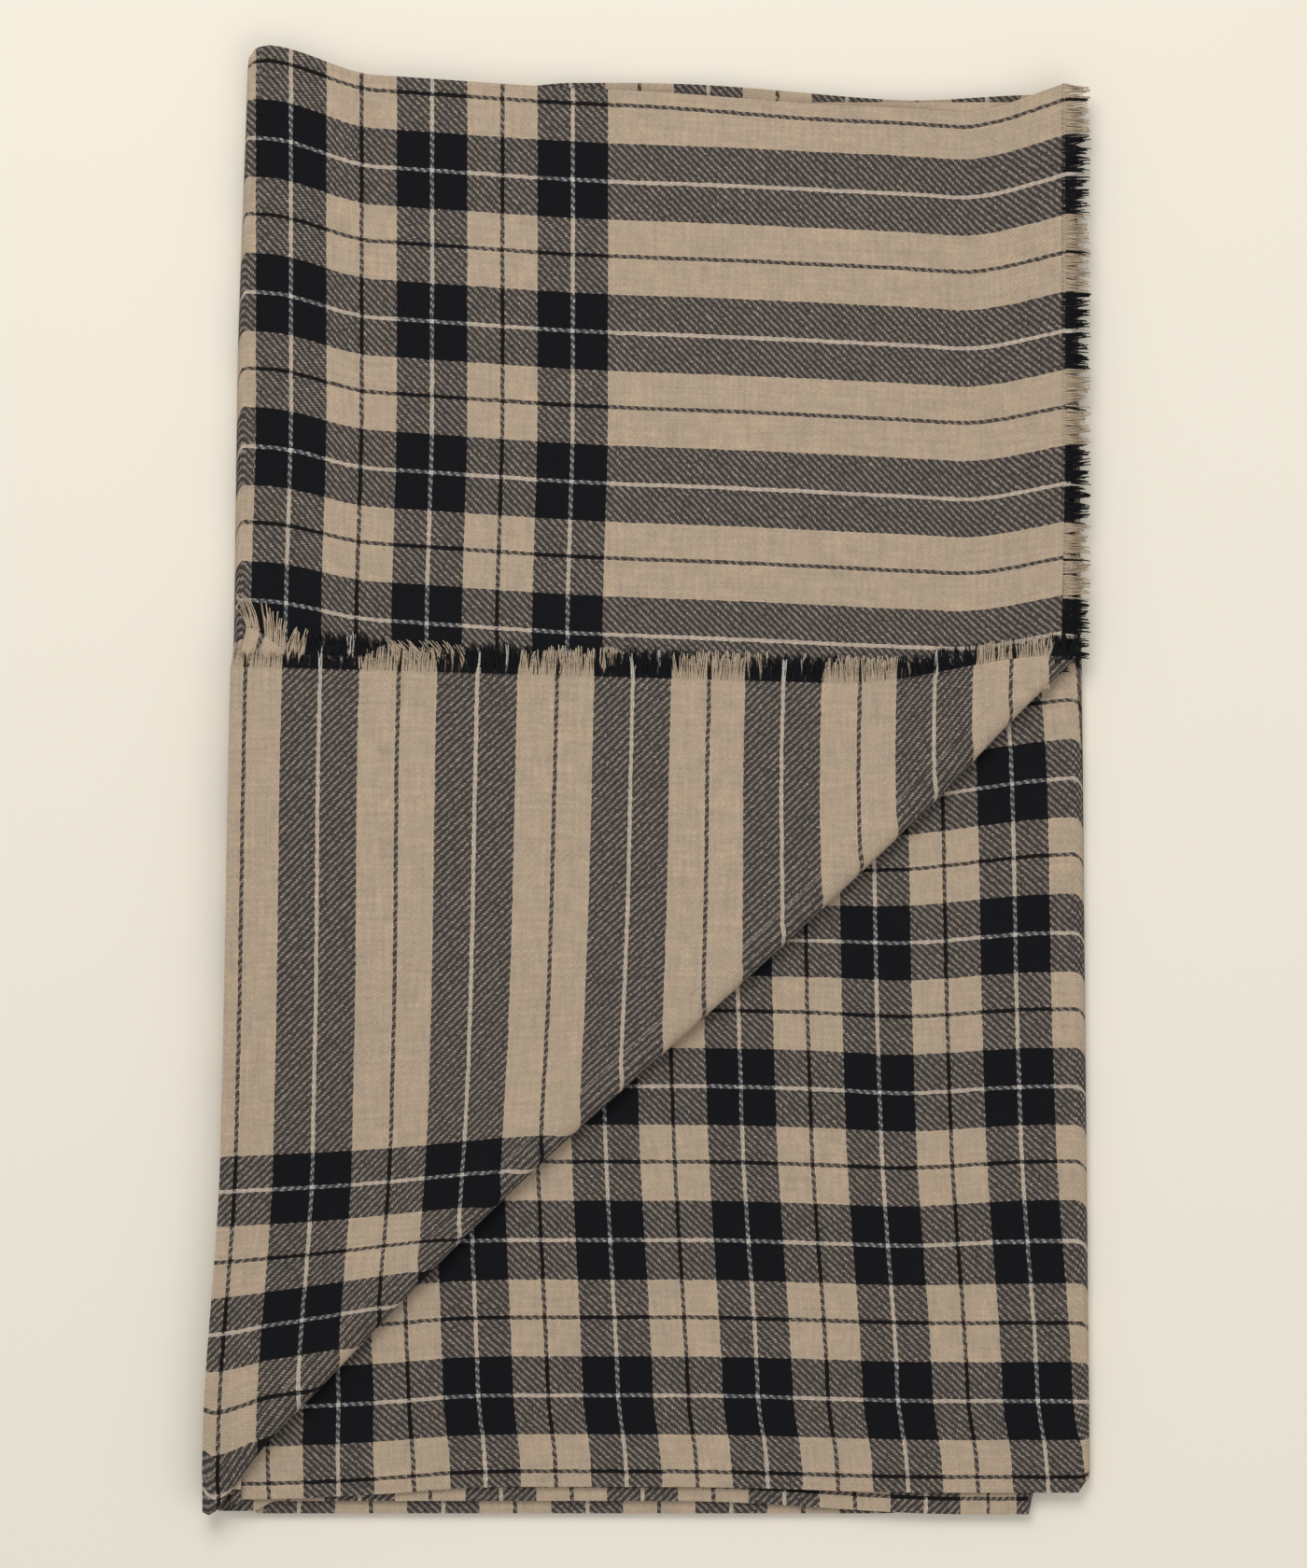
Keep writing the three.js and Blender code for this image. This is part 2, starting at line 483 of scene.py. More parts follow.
def ripple(x, y):
    total = 0
    for size, alongX, alongY, start in ripples:
        total = total + size * np.sin(2 * math.pi * (x / alongX + y / alongY) + start)
    return total


# cut: where the flat cloth turns into the fold, bulge: how far the fold stands out from there,
# left and end: where the fold meets the cloth's left edge and its fringed end
cornerFold = {
    "outer": {
        "cut": 5.4 * mm,
        "bulge": 5.8 * mm,
        "rise": 0.9 * mm,
        "reach": 14 * mm,
        "girth": 14.6 * mm,
        "left": -176.6 * mm,
        "end": 47.5 * mm,
    },
    "inner": {
        "cut": 4.4 * mm,
        "bulge": 2.2 * mm,
        "rise": 0.5 * mm,
        "reach": 12 * mm,
        "left": -165 * mm,
        "end": 43 * mm,
    },
}
leadIn = 4 * mm
topFurrows = {
    "clearOfFlap": (8 * mm, 40 * mm),
    "ridge": (1.6 * mm, 101 * mm, 17 * mm),
    "furrow": (1.6 * mm, 128 * mm, 15 * mm),
    "leftRidge": (1.3 * mm, -136 * mm, 14 * mm),
    "rightEdge": (2.2 * mm, 148 * mm, 168 * mm),
    "rightEdgeFrom": (20 * mm, 90 * mm),
}


def heightOf(node, x, y):
    level = levelOf(node)
    share = level / levelOf("corner_upper_panel")
    z = level + share * rippleHeight * ripple(x, y)
    side = cornerSide(x, y)
    if node == "top_panel":
        p = topFurrows
        clear = ease(*p["clearOfFlap"], y - flap["root"])
        z = z + clear * (swells(p["ridge"], x) - swells(p["furrow"], x) + swells(p["leftRidge"], x))
        z = z + comesIn(p["rightEdge"], x) * ease(*p["rightEdgeFrom"], y)
    for panel, roll in {"corner_upper_panel": "outer", "corner_under_panel": "inner"}.items():
        if node == panel:
            p = cornerFold[roll]
            z = z + p["rise"] * hump(p["cut"], p["reach"], np.maximum(side, p["cut"]))
    return z


# A socket that takes part in Python sums, so that shader maths reads as an expression
class Wire:
    def __init__(self, shader, socket):
        self.shader = shader
        self.socket = socket

    def maths(self, operation, *others):
        return self.shader.node("ShaderNodeMath", {"operation": operation}, [self, *others])

    def __add__(self, other):
        return self.maths("ADD", other)

    def __radd__(self, other):
        return self.maths("ADD", other)

    def __mul__(self, other):
        return self.maths("MULTIPLY", other)

    def __rmul__(self, other):
        return self.maths("MULTIPLY", other)

    def __sub__(self, other):
        return self.maths("SUBTRACT", other)

    def __rsub__(self, other):
        return self.shader.node("ShaderNodeMath", {"operation": "SUBTRACT"}, [other, self])

    def __mod__(self, other):
        return self.maths("FLOORED_MODULO", other)

    def __lt__(self, other):
        return self.maths("LESS_THAN", other)

    def __gt__(self, other):
        return self.maths("GREATER_THAN", other)


class Shader:
    def __init__(self, name):
        self.material = bpy.data.materials.new(name)
        self.material.use_nodes = True
        self.tree = self.material.node_tree
        self.principled = self.tree.nodes["Principled BSDF"]

    # Settings go on the node itself, inputs is a list or a dictionary of values and wires
    def node(self, kind, settings=None, inputs=(), output=0):
        made = self.tree.nodes.new(kind)
        for name, value in (settings or {}).items():
            setattr(made, name, value)
        self.feed(made, inputs)
        return Wire(self, made.outputs[output])

    def feed(self, node, inputs):
        pairs = inputs.items() if isinstance(inputs, dict) else enumerate(inputs)
        for key, value in pairs:
            if isinstance(value, Wire):
                self.tree.links.new(value.socket, node.inputs[key])
            elif isinstance(value, tuple) and len(value) == 3 and node.inputs[key].type == "RGBA":
                node.inputs[key].default_value = (*value, 1)
            else:
                node.inputs[key].default_value = value

    def mix(self, amount, first, second):
        return self.node(
            "ShaderNodeMix",
            {"data_type": "RGBA", "clamp_factor": True},
            {0: amount, 6: first, 7: second},
            output=2,
        )

    def blend(self, kind, first, second):
        settings = {"data_type": "RGBA", "blend_type": kind}
        return self.node("ShaderNodeMix", settings, {0: 1.0, 6: first, 7: second}, output=2)

    def between(self, x, low, high):
        return (x > low - 0.5) * (x < high - 0.5)

    def noise(self, vector, scale, detail=2.0, roughness=0.5):
        inputs = {"Vector": vector, "Scale": scale, "Detail": detail, "Roughness": roughness}
        return self.node("ShaderNodeTexNoise", {"noise_dimensions": "3D"}, inputs)

    def vector(self, x, y, z=0.0):
        return self.node("ShaderNodeCombineXYZ", None, [x, y, z])

    # All the yarn is matt, with a little sheen
    def finish(self, colour, roughness, sheen, height, bump, bumpDepth):
        inputs = {"Strength": bump, "Distance": bumpDepth, "Height": height}
        self.feed(self.principled, {
            "Base Color": colour,
            "Roughness": roughness,
            "Specular IOR Level": 0.1,
            "Sheen Weight": sheen,
            "Sheen Roughness": 0.5,
            "Normal": self.node("ShaderNodeBump", None, inputs),
        })


# Which colour a lengthwise yarn has, from its number across the cloth
def warpColour(shader, warp):
    place = (warp - stripes["selvedge"]) % stripes["repeat"]
    dark = shader.between(place, stripes["darkFrom"], stripes["darkTo"])
    ivory = shader.between(place, stripes["ivory"], stripes["ivory"] + 2)
    pin = shader.between(place, 0, 2)
    return stripeColour(shader, dark, ivory, pin)


# The same for a crosswise yarn, from its number along the cloth
def weftColour(shader, weft):
    first = weft - bands["border"]
    place = first % bands["repeat"]
    inside = shader.between(first, 0, cloth["weftCount"] - 2 * bands["border"])
    dark = shader.between(place, 0, bands["darkTo"]) * inside
    ivory = shader.between(place, bands["ivory"], bands["ivory"] + 2) * inside
    pin = shader.between(place, bands["black"], bands["black"] + 2) * inside
    return stripeColour(shader, dark, ivory, pin)


def stripeColour(shader, dark, ivory, pin):
    base = shader.mix(dark, yarnColour["beige"], yarnColour["black"])
    base = shader.mix(pin, base, yarnColour["pin"])
    return shader.mix(ivory, base, yarnColour["ivory"])


weave = {
    "paintedGapShade": 0.66,  # painted shade between two yarns: how dark the colour is painted where the yarns round down into the gaps
    "lightCover": 0.48,  # how much of a light yarn shows where it crosses a dark one
    "coverLeast": 0.05,
    "crossingSpread": 1.7,  # how unlike each other the crossings are
    "fibreSpread": 0.8,
    "nap": 0.1,
    "yarnVariation": 0.26,
    "looseness": 1.2,  # how far yarns stray from their straight lines, in yarn widths
    "fibreShade": 0.44,
    "patchShade": 0.28,
    "slubShade": 0.34,
    "slubAcrossShade": 0.28,
    "greyTint": (0.93, 1.01, 1.16),
    "coolTint": (0.96, 1.0, 1.05),
    "warmTint": (1.05, 0.985, 0.95),
    "roughness": 0.95,
    "bump": 0.35,
    "bumpDepth": 0.25 * mm,
}


# Two over and two under, one yarn further along each row. The reverse shows the other yarn.
def weaveMaterial(name, fromBehind):
    shader = Shader(name)
    uv = shader.node("ShaderNodeUVMap", {"uv_map": "UVMap"})
    split = shader.node("ShaderNodeSeparateXYZ", None, [uv])
    weftPlace = split
    warpPlace = Wire(shader, split.socket.node.outputs[1])
    sway = shader.noise(shader.vector(weftPlace, warpPlace, 5.0), 0.31, 2.0)
    swing = shader.noise(shader.vector(weftPlace, warpPlace, 9.0), 0.27, 2.0)
    weftPlace = weftPlace + (sway - 0.5) * weave["looseness"]
    warpPlace = warpPlace + (swing - 0.5) * weave["looseness"]
    weft = weftPlace.maths("FLOOR")
    warp = warpPlace.maths("FLOOR")
    step = (weft + warp) % 4
    warpUp = step > 1.5 if fromBehind else step < 1.5

    # how far across its yarn and along its float a point is
    acrossWarp = warpPlace - warp
    acrossWeft = weftPlace - weft
    alongWarp = ((weftPlace + warp) % 2) * 0.5
    alongWeft = ((warpPlace + weft) % 2) * 0.5
    warpHill = (acrossWarp * math.pi).maths("SINE") * (alongWarp * math.pi).maths("SINE")
    weftHill = (acrossWeft * math.pi).maths("SINE") * (alongWeft * math.pi).maths("SINE")
    hill = warpUp * warpHill + (1 - warpUp) * weftHill
    hill = hill.maths("POWER", 0.5)

    # each yarn has its own shade, drifting along its length
    warpShade = shader.noise(shader.vector(warp * 0.73, weftPlace * 0.021), 1.0, 3.0)
    weftShade = shader.noise(shader.vector(weft * 0.61, warpPlace * 0.024, 7.0), 1.0, 3.0)
    yarnShade = warpUp * warpShade + (1 - warpUp) * weftShade
    fibres = shader.noise(shader.vector(weftPlace, warpPlace), 2.3, 2.0, 0.7)
    patches = shader.noise(shader.vector(weftPlace, warpPlace, 3.0), 0.09, 4.0, 0.65)

    # dark fibres lie over the light yarns that they cross
    warpYarn = warpColour(shader, warp)
    weftYarn = weftColour(shader, weft)
    upper = shader.mix(warpUp, weftYarn, warpYarn)
    dark = shader.blend("DARKEN", warpYarn, weftYarn)
    light = shader.blend("LIGHTEN", warpYarn, weftYarn)
    crossing = shader.noise(shader.vector(weft * 0.71, warp * 0.67, 4.0), 1.0, 1.0)
    cover = (crossing - 0.5) * weave["crossingSpread"] + (fibres - 0.5) * weave["fibreSpread"]
    cover = (cover + weave["lightCover"]).maths("MAXIMUM", weave["coverLeast"]).maths("MINIMUM", 1.0)
    cover = (0.35 + hill * 0.65) * cover
    nap = weave["nap"] * (fibres * 2.6 - 0.3)
    colour = shader.mix(nap, shader.mix(cover, dark, upper), light)
    colours = {0: warpYarn, 1: weftYarn}
    contrast = shader.node("ShaderNodeVectorMath", {"operation": "DISTANCE"}, colours, output=1)
    greyer = shader.mix(contrast * 1.4, (1.0, 1.0, 1.0), weave["greyTint"])
    colour = shader.blend("MULTIPLY", colour, greyer)

    # painted shade: the colour darkens down each yarn's rounded sides into the gaps between yarns; the
    # yarn, fibre, patch and slub tones that follow are the cloth's own
    gap = weave["paintedGapShade"]
    shade = (gap + (1 - gap) * hill) * (1 + (yarnShade - 0.5) * weave["yarnVariation"] * 2)
    slub = shader.noise(shader.vector(weftPlace * 0.9, warpPlace * 0.16, 6.0), 0.5, 2.0)
    slubAcross = shader.noise(shader.vector(weftPlace * 0.13, warpPlace * 0.8, 8.0), 0.5, 2.0)
    slubs = slub * weave["slubShade"] + slubAcross * weave["slubAcrossShade"]
    slubsMiddle = (weave["slubShade"] + weave["slubAcrossShade"]) / 2
    shade = shade * (1 - weave["fibreShade"] / 2 + fibres * weave["fibreShade"])
    shade = shade * (1 - weave["patchShade"] / 2 + patches * weave["patchShade"])
    shade = shade * (1 - slubsMiddle + slubs)
    warm = shader.mix(patches * 1.6 + yarnShade - 0.8, weave["coolTint"], weave["warmTint"])
    tinted = shader.blend("MULTIPLY", colour, warm)
    lit = shader.node("ShaderNodeVectorMath", {"operation": "SCALE"}, {0: tinted, 3: shade})

    height = hill + fibres * 0.3
    shader.finish(lit, weave["roughness"] - fibres * 0.1, 0.02, height, weave["bump"], weave["bumpDepth"])
    return shader.material


looseYarnLook = {
    "fadedTint": (1.2, 1.24, 1.3),
    "fading": 0.9,
    "twistsPerStrand": 13.5,
    "paintedTwistShade": 0.14,
    "ownShade": 0.4,
    "roughness": 0.92,
    "bump": 0.5,
    "bumpDepth": 0.15 * mm,
}


def fringeMaterial():
    look = looseYarnLook
    shader = Shader("looseYarn")
    uv = shader.node("ShaderNodeUVMap", {"uv_map": "UVMap"})
    split = shader.node("ShaderNodeSeparateXYZ", None, [uv])
    along = split
    warp = Wire(shader, split.socket.node.outputs[1]).maths("FLOOR")
    colour = warpColour(shader, warp)
    faded = shader.blend("MULTIPLY", colour, look["fadedTint"])
    colour = shader.mix(along * along * look["fading"], colour, faded)
    halfTurns = along * 2 * look["twistsPerStrand"] + warp * 0.37
    twist = (halfTurns * math.pi).maths("SINE") * 0.5 + 0.5
    ownShade = shader.noise(shader.vector(warp * 0.73, along * 1.2), 1.0, 2.0)
    # painted shade in the grooves of each strand's twist, times each strand's own tone
    shade = 1 - look["paintedTwistShade"] + twist * look["paintedTwistShade"]
    shade = shade * (1 - look["ownShade"] / 2 + ownShade * look["ownShade"])
    lit = shader.node("ShaderNodeVectorMath", {"operation": "SCALE"}, {0: colour, 3: shade})
    shader.finish(lit, look["roughness"] - ownShade * 0.1, 0.03, twist, look["bump"], look["bumpDepth"])
    return shader.material


def deselectAll():
    for o in bpy.context.view_layer.objects:
        o.select_set(False)


def activate(piece):
    deselectAll()
    piece.select_set(True)
    bpy.context.view_layer.objects.active = piece


# A flat grid whose points are then put in place, row by row
def gridPiece(name, across, down):
    deselectAll()
    bpy.ops.mesh.primitive_grid_add(x_subdivisions=across, y_subdivisions=down, size=1)
    piece = bpy.context.object
    piece.name = name
    piece.data.name = name
    return piece


def gridShares(piece):
    co = np.zeros(len(piece.data.vertices) * 3)
    piece.data.vertices.foreach_get("co", co)
    co = co.reshape(-1, 3)
    return co[:, 0] + 0.5, 0.5 - co[:, 1]


def setPoints(piece, x, y, z):
    co = np.stack([x, y, z], 1)
    piece.data.vertices.foreach_set("co", co.ravel())


def setYarnPlaces(piece, weft, warp):
    corners = np.zeros(len(piece.data.loops), int)
    piece.data.loops.foreach_get("vertex_index", corners)
    uv = np.stack([weft[corners], warp[corners]], 1)
    piece.data.uv_layers[0].name = "UVMap"
    piece.data.uv_layers[0].data.foreach_set("uv", uv.ravel())


def points(piece):
    co = np.zeros(len(piece.data.vertices) * 3)
    piece.data.vertices.foreach_get("co", co)
    return co.reshape(-1, 3).T


# Cuts along the corner's fold line and keeps the side that is asked for
def cutAtCorner(piece, side, keepUpperLeft):
    x, y = cornerPoint(0, side)
    axis = cornerHinge[1]
    activate(piece)
    bpy.ops.object.mode_set(mode="EDIT")
    bpy.ops.mesh.select_all(action="SELECT")
    bpy.ops.mesh.bisect(
        plane_co=(x, y, 0),
        plane_no=(-axis[1], axis[0], 0),
        clear_inner=keepUpperLeft,
        clear_outer=not keepUpperLeft,
    )
    bpy.ops.object.mode_set(mode="OBJECT")


# Gives a sheet its thickness, its two sides and its place in the frame
def finishSheet(piece, node, upper, under):
    piece.data.materials.append(upper)
    piece.data.materials.append(under)
    activate(piece)
    solid = piece.modifiers.new("thickness", "SOLIDIFY")
    solid.thickness = cloth["thickness"]
    solid.offset = 0
    solid.material_offset = 1
    bpy.ops.object.modifier_apply(modifier=solid.name)
    bpy.ops.object.shade_smooth_by_angle(angle=math.radians(50))
    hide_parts(node)


# Flat size and area of the cut, from the yarns that it holds
def cutSize(piece):
    uv = np.zeros(len(piece.data.loops) * 2)
    piece.data.uv_layers[0].data.foreach_get("uv", uv)
    uv = uv.reshape(-1, 2) * (cloth["weftPitch"], cloth["warpPitch"])
    area = 0
    for polygon in piece.data.polygons:
        ring = uv[list(polygon.loop_indices)]
        nextRing = np.roll(ring, -1, 0)
        area += abs(np.sum(ring[:, 0] * nextRing[:, 1] - ring[:, 1] * nextRing[:, 0])) / 2
    span = uv.max(0) - uv.min(0)
    return (float(span[0]), float(span[1])), float(area)


face = weaveMaterial("twillFace", False)
reverse = weaveMaterial("twillReverse", True)
looseYarn = fringeMaterial()


# Lays a grid out as place says, and notes which yarns each point of it has
def layOut(piece, place, s, v):
    x, y, weft = place(s, v)
    setYarnPlaces(piece, weft, v / cloth["warpPitch"])
    setPoints(piece, x, y, 0 * x)


# Lifts a laid-out sheet to its layer's height, then gives it its thickness
def raiseSheet(piece, node, body, upper, under, atCorner, turnOver=None):
    x, y, _ = points(piece)
    if turnOver:
        x, y = turnOver(x, y)
    z = heightOf(node, x, y)
    if atCorner:
        x, y = bowed(x, y)
    setPoints(piece, x, y, z)
    if turnOver:
        piece.data.flip_normals()
    flat, area = cutSize(piece)
    finishSheet(piece, node, upper, under)
    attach(piece, body)
    return piece, flat, min(area, flat[0] * flat[1])


def layerSheet(name, node, body, place, upper, under, across, down, trim=(1, 1), cut=None):
    piece = gridPiece(name, across, down)
    s, down = gridShares(piece)
    start = leadIn / hingeSpan * trim[0]
    end = 1 - leadIn / hingeSpan * trim[1]
    layOut(piece, place, start + s * (end - start), down * cloth["width"])
    if cut:
        cutAtCorner(piece, cornerFold[cut]["cut"] + leadIn, True)
    return raiseSheet(piece, node, body, upper, under, cut is not None)


def turnedOver(x, y):
    x, y = cornerPoint(cornerAlong(x, y), -cornerSide(x, y))
    end = flap["root"] + flap["rootSlope"] * (x - flap["left"])
    nearEnd = ease(end - underEnd["reach"], end, y)
    return x - goesOut(underEnd["shift"], x) * nearEnd, y + underReach(x) * nearEnd


# The under layer of the turned corner is the top layer carried on flat past the fold line
# and then turned over it.
def cornerUnderSheet(name, node, body, across, down):
    piece = gridPiece(name, across, down)
    s, down = gridShares(piece)
    layOut(piece, placeTop, s, down * cloth["width"])
    cutAtCorner(piece, -cornerFold["inner"]["cut"] - leadIn, False)
    return raiseSheet(piece, node, body, reverse, face, True, turnedOver)


def flapSheet(name, node, body, across, down):
    piece = gridPiece(name, across, down)
    aShare, s = gridShares(piece)
    layOut(piece, placeFlap, s, cloth["width"] * (1 - aShare * flap["reachAcross"]))
    cutAtCorner(piece, cornerFold["outer"]["cut"] + leadIn, True)
    return raiseSheet(piece, node, body, face, reverse, True)


# The folds are cloth that rolls from one layer to another
arcSteps = 14
leadSteps = 2
endRound = 5 * mm


# rows: arrays of x, y, z, weft and warp, from the lower layer's lead-in to the upper one's
def rollPiece(name, node, rows, outside, inside):
    count = len(rows)
    along = len(rows[0][0]) - 1
    piece = gridPiece(name, along, count - 1)
    table = [np.concatenate([np.asarray(row[k]) for row in rows]) for k in range(5)]
    across, down = gridShares(piece)
    index = np.rint(down * (count - 1)).astype(int) * (along + 1) + np.rint(across * along).astype(int)
    setPoints(piece, table[0][index], table[1][index], table[2][index])
    setYarnPlaces(piece, table[3][index], table[4][index])
    finishSheet(piece, node, outside, inside)
    return piece


# The turn at step k of a half round, from straight down to straight up
def arcTurn(k):
    return -math.pi / 2 + math.pi * k / arcSteps


# Half a round between two edges, with outward the direction it bulges in
def arcRows(low, high, outward, bulge):
    rows = []
    for k in range(1, arcSteps):
        turn = arcTurn(k)
        share = (1 + math.sin(turn)) / 2
        row = [low[i] + (high[i] - low[i]) * share for i in range(3)]
        flow = k / arcSteps
        row += [low[i] + (high[i] - low[i]) * flow for i in (3, 4)]
        row[0] = row[0] + outward[0] * bulge * math.cos(turn)
        row[1] = row[1] + outward[1] * bulge * math.cos(turn)
        rows.append(row)
    return rows


# The length of a half ellipse with the fold's own height and bulge, and its lead-ins
def rollLength(low, high, bulge):
    tall = float(np.mean(np.abs(high[2] - low[2]))) / 2
    wide = float(np.mean(bulge))
    return math.pi * math.sqrt((tall * tall + wide * wide) / 2) + 2 * leadIn


# A fold at the left or the right edge of two layers
def sideRoll(name, node, lowLayer, highLayer, edge, bulge, outside, inside, down=140):
    v = np.linspace(0, cloth["width"], down + 1)

    def edgeRow(layer, inward):
        layerNode, place = layer
        s = inward / hingeSpan if edge == 0 else 1 - inward / hingeSpan
        x, y, weft = place(np.zeros_like(v) + s, v)
        return [x, y, heightOf(layerNode, x, y), weft, v / cloth["warpPitch"]]

    leads = [leadIn * (1 - k / leadSteps) for k in range(leadSteps + 1)]
    low = [edgeRow(lowLayer, inward) for inward in leads]
    high = [edgeRow(highLayer, inward) for inward in reversed(leads)]
    outward = (-1 if edge == 0 else 1, 0)
    toEnd = np.clip(np.minimum(v, cloth["width"] - v) / endRound, 0, 1)
    full = bulge(low[-1][1]) * np.sqrt(toEnd * (2 - toEnd))
    rows = low + arcRows(low[-1], high[0], outward, full) + high
    piece = rollPiece(name, node, rows, outside, inside)
    flat = (rollLength(low[-1], high[0], bulge(v * 0)), cloth["width"])
    return piece, flat


print("Cloth: layers")
sheets = {}
for name, plan in {
    "bottomCloth": ("bottom_panel", "bottom_pair", placeBottom, reverse, face, 42, 70),
    "fifthCloth": ("fifth_panel", "bottom_pair", placeFifth, face, reverse, 60, 84),
    "fourthCloth": ("fourth_panel", "middle_pair", placeFourth, reverse, face, 168, 84),
    "thirdCloth": ("third_panel", "middle_pair", placeThird, face, reverse, 84, 140),
    "secondCloth": ("second_panel", "top_pair", placeSecond, reverse, face, 60, 84, (1, 0), "outer"),
    "topCloth": ("top_panel", "top_pair", placeTop, face, reverse, 84, 140, (1, 0), "inner"),
}.items():
    sheets[name] = layerSheet(name, *plan)
sheets["cornerUnderCloth"] = cornerUnderSheet(
    "cornerUnderCloth", "corner_under_panel", "turned_corner", 84, 140)
sheets["cornerUpperCloth"] = flapSheet("cornerUpperCloth", "corner_upper_panel", "turned_corner", 88, 88)

print("Cloth: folds")
layers = {
    "bottom": ("bottom_panel", placeBottom),
    "fifth": ("fifth_panel", placeFifth),
    "fourth": ("fourth_panel", placeFourth),
    "third": ("third_panel", placeThird),
    "second": ("second_panel", placeSecond),
    "top": ("top_panel", placeTop),
}
edgeBulge = {
    "right": 4.4 * mm,
    "inner": 1.1 * mm,
    "left": 3.1 * mm,
    "leftFlatter": (2.6 * mm, 140 * mm, 285 * mm),
    "leftInnerShare": 0.4,
}


def rightBulge(y):
    return edgeBulge["right"] + 0 * y


def innerBulge(y):
    return edgeBulge["inner"] + 0 * y


# The left folds lie flatter towards the top
def leftBulge(y):
    return edgeBulge["left"] - comesIn(edgeBulge["leftFlatter"], y)


def leftInnerBulge(y):
    return leftBulge(y) * edgeBulge["leftInnerShare"]


rolls = {}
for name, (node, low, high, *plan) in {
    "midLengthRoll": ("mid_length_fold", "bottom", "fifth", 0, innerBulge, face, reverse, 84),
    "rightOuterRoll": ("right_outer_fold", "bottom", "third", 1, rightBulge, face, reverse),
    "rightInnerRoll": ("right_inner_fold", "fifth", "fourth", 1, innerBulge, reverse, face, 84),
    "leftInnerRoll": ("left_inner_fold", "third", "second", 0, leftInnerBulge, reverse, face, 84),
    "leftOuterRoll": ("left_outer_fold", "fourth", "top", 0, leftBulge, face, reverse),
}.items():
    rolls[name] = sideRoll(name, node, layers[low], layers[high], *plan)


# Where a row of a diagonal fold starts and stops. That depends on how far in from the fold
# line it lies, because the cloth's own edges cross the line at a slant.
def rollEnds(shape, side):
    point, axis = cornerHinge
    start = (shape["left"] + side * axis[1]) / axis[0]
    return start, (shape["end"] - point[1] - side * axis[0]) / axis[1]


# A diagonal fold, from the lower layer at the same place up and over to the upper one. The
# yarn places run on round it.
def cornerRoll(name, node, lowNode, highNode, shape, placesAt, outside, inside, down=150):
    cutAt, bulge = shape["cut"], shape["bulge"]
    t = np.linspace(0, 1, down + 1)
    leads = [leadIn * (1 - k / leadSteps) for k in range(leadSteps + 1)]
    profile = [(cutAt + lead, 0, "low") for lead in leads]
    for k in range(1, arcSteps):
        turn = arcTurn(k)
        profile.append((cutAt - bulge * math.cos(turn), (1 + math.sin(turn)) / 2, k / arcSteps))
    profile += [(cutAt + lead, 1, "high") for lead in reversed(leads)]
    rows = []
    for side, share, flow in profile:
        start, stop = rollEnds(shape, side)
        along = start + t * (stop - start)
        x, y = cornerPoint(along, side)
        low, high = (heightOf(n, *cornerPoint(along, max(side, cutAt))) for n in (lowNode, highNode))
        weft, warp = placesAt(along, side, flow)
        x, y = bowed(x, y)
        rows.append([x, y, low + (high - low) * share, weft, warp])
    piece = rollPiece(name, node, rows, outside, inside)
    length = rollLength(rows[leadSteps], rows[-1 - leadSteps], bulge)
    return piece, (length, float(stop - start)), [[row[k][-1] for row in rows] for k in range(5)]


def topPlaces(along, side):
    x, y = cornerPoint(along, side)
    s, v = findTop(x, y)
    return placeTop(s, v)[2], v / cloth["warpPitch"]


def flapPlaces(along, side):
    x, y = cornerPoint(along, side)
    s, v = findFlap(x, y)
    return placeFlap(s, v)[2], v / cloth["warpPitch"]


def innerRollPlaces(along, side, flow):
    if flow == "low":
        return topPlaces(along, side)
    if flow == "high":
        return topPlaces(along, -side)
    return topPlaces(along, cornerFold["inner"]["cut"] * (1 - 2 * flow))


def outerRollPlaces(along, side, flow):
    cutAt = cornerFold["outer"]["cut"]
    girth = cornerFold["outer"]["girth"]
    if flow == "low":
        return flapPlaces(along, 2 * cutAt - girth - side)
    if flow == "high":
        return flapPlaces(along, side)
    return flapPlaces(along, cutAt - girth * (1 - flow))


rolls["cornerOuterRoll"] = cornerRoll(
    "cornerOuterRoll", "corner_outer_fold", "second_panel", "corner_upper_panel",
    cornerFold["outer"], outerRollPlaces, face, reverse)
rolls["cornerInnerRoll"] = cornerRoll(
    "cornerInnerRoll", "corner_inner_fold", "top_panel", "corner_under_panel",
    cornerFold["inner"], innerRollPlaces, reverse, face)

fringe = {
    "length": 9.5 * mm,
    "lengthSpread": 0.24,
    "strands": 2,  # for each lengthwise yarn
    "apart": 0.4 * mm,
    "inset": 1.6 * mm,
    "sunk": 0.15 * mm,
    "radius": 0.4 * mm,
    "rootShare": 0.3,  # how thin a strand starts
    "taper": 0.4,
    "segments": 6,
    "corners": 3,
    "clump": 11,
    "clumpReach": 4 * mm,
    "gather": 0.4,
    "lean": 0.5 * mm,
    "curl": 0.4 * mm,
    "lift": 0.9 * mm,
    "droop": 0.06,
    "waver": 0.15 * mm,
    "twist": 2.5,
}


